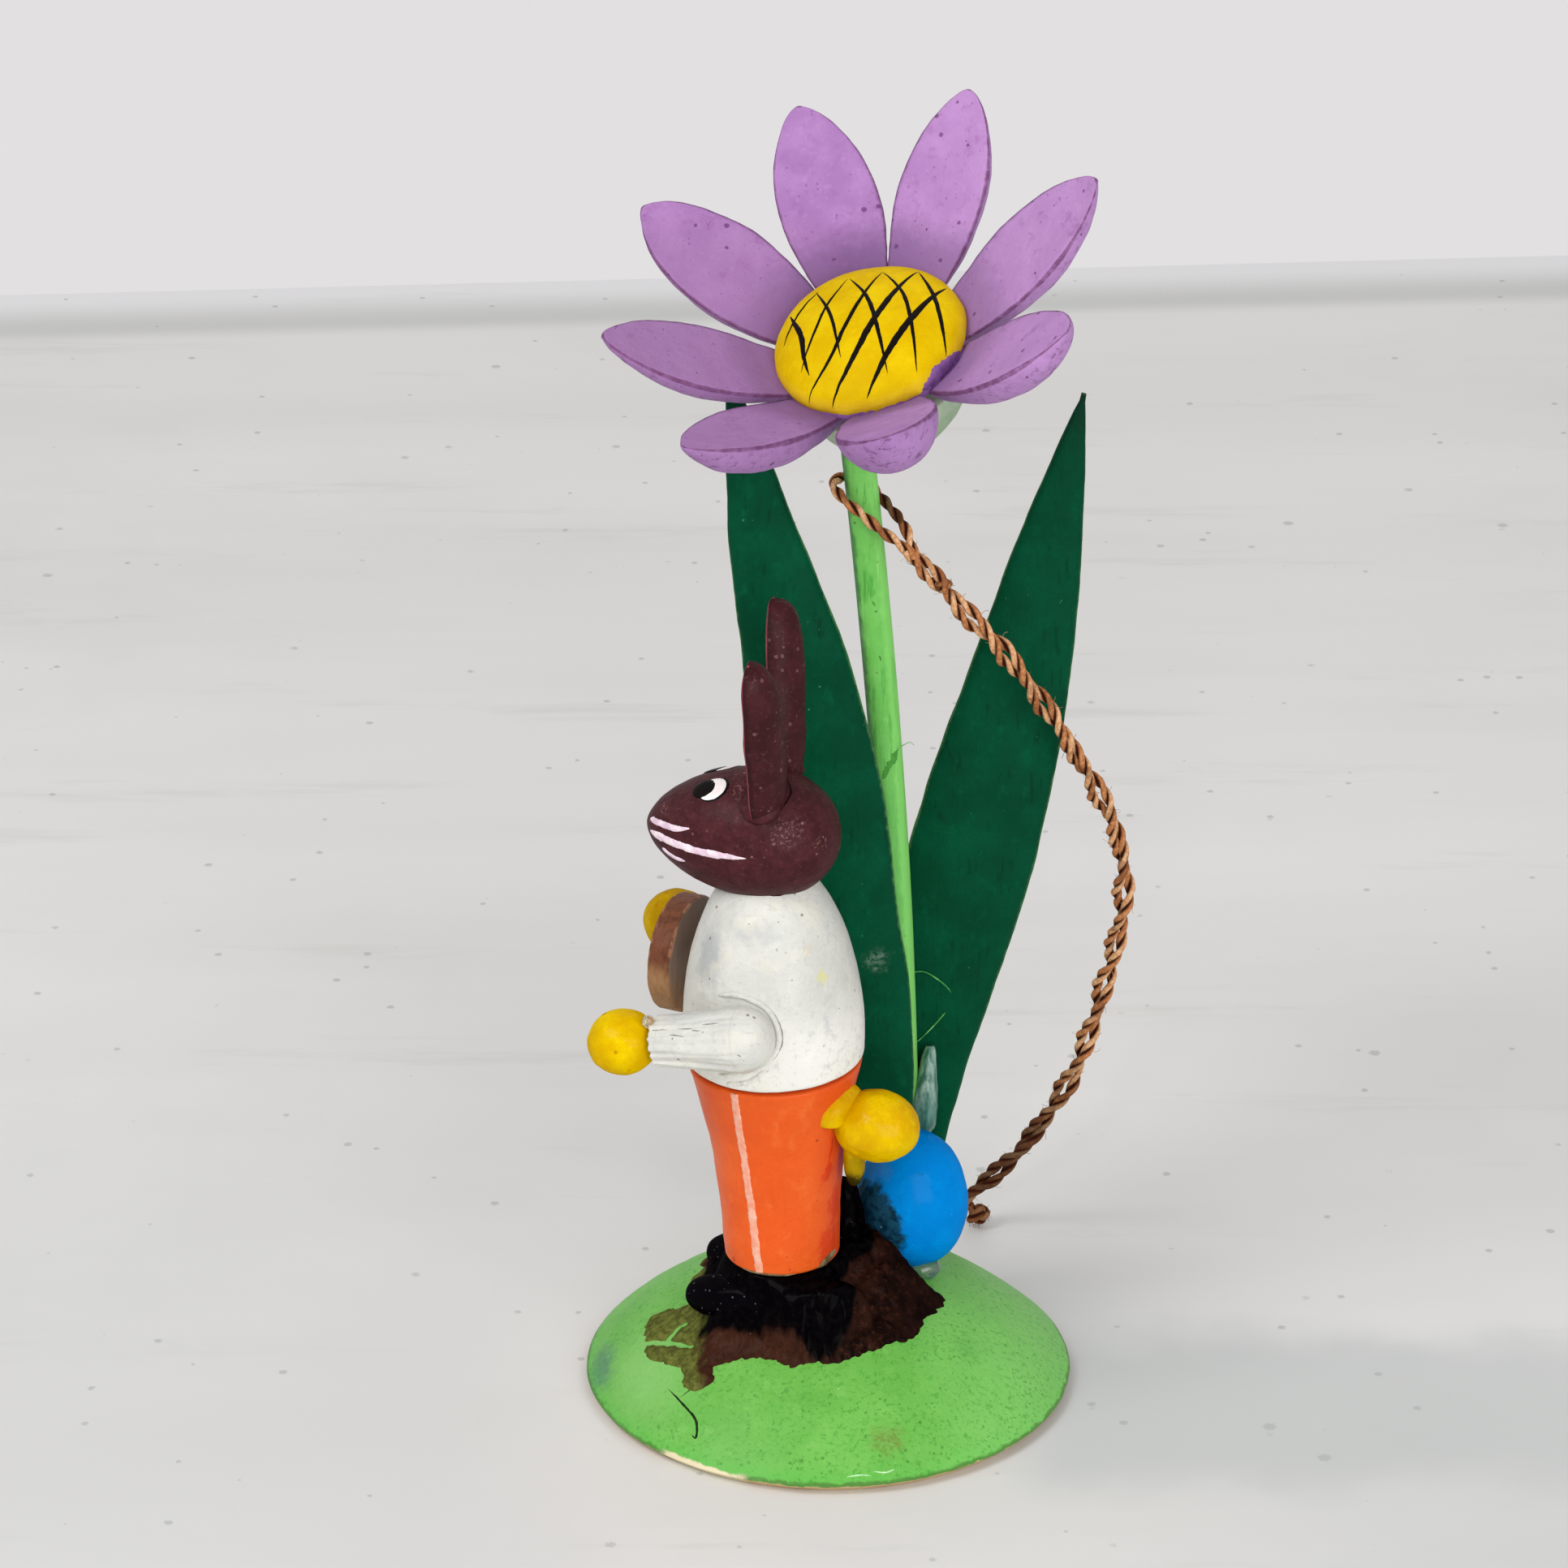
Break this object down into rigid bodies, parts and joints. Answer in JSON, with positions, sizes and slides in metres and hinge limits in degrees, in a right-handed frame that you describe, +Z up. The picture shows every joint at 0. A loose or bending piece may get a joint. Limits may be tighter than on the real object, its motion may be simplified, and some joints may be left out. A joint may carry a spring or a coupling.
{
  "type": "wooden rabbit ornament",
  "caption": "Turned and painted wooden rabbit with a palette on a domed base, under a tall flower with leaves, an egg behind it and a cord looped round the stem.",
  "frame": {"origin": "centre of the round base's flat underside, on the surface it stands on", "axes": "+Z up, -X the way the rabbit looks, -Y the rabbit's left side"},
  "size_m": [0.034, 0.035, 0.0781],
  "materials": {
    "base_paint": "worn light green paint on turned wood, bare at the bottom rim",
    "stem_paint": "thin light green paint on dowel",
    "trouser_paint": "satin orange paint with a pale side stripe",
    "shirt_paint": "satin white paint, a little soiled",
    "fur_paint": "glossy dark brown paint",
    "yellow_paint": "glossy yellow paint",
    "palette_wood": "brown stained wood, lighter at the edge",
    "shoe_paint": "gloss black paint",
    "egg_paint": "glossy blue paint",
    "calyx_paint": "thin grey green paint",
    "petal_paint": "matt lilac paint, dark along worn edges",
    "leaf_paint": "satin dark green paint on thin wood",
    "brown_glue": "dried brown glue, glossy and rough by turns",
    "clear_glue": "dried clear glue, milky",
    "string": "twisted brown string"
  },
  "bodies": {
    "root": {"base": "base_paint", "stem": "stem_paint", "trousers": "trouser_paint", "torso": "shirt_paint", "head": "fur_paint", "ear_left": "fur_paint", "ear_right": "fur_paint", "sleeve_left": "shirt_paint", "sleeve_right": "shirt_paint", "hand_left": "yellow_paint", "hand_right": "yellow_paint", "palette": "palette_wood", "tail": "yellow_paint", "shoe_left": "shoe_paint", "shoe_right": "shoe_paint", "egg": "egg_paint", "flower_centre": "yellow_paint", "calyx": "calyx_paint", "petal_1": "petal_paint", "petal_2": "petal_paint", "petal_3": "petal_paint", "petal_4": "petal_paint", "petal_5": "petal_paint", "petal_6": "petal_paint", "petal_7": "petal_paint", "petal_8": "petal_paint", "leaf_left": "leaf_paint", "leaf_right": "leaf_paint", "glue_patch": "brown_glue", "egg_glue": "clear_glue", "leaf_glue": "clear_glue", "cord": "string", "cord_loop": "string", "cord_knot": "string"}
  },
  "joints": []
}
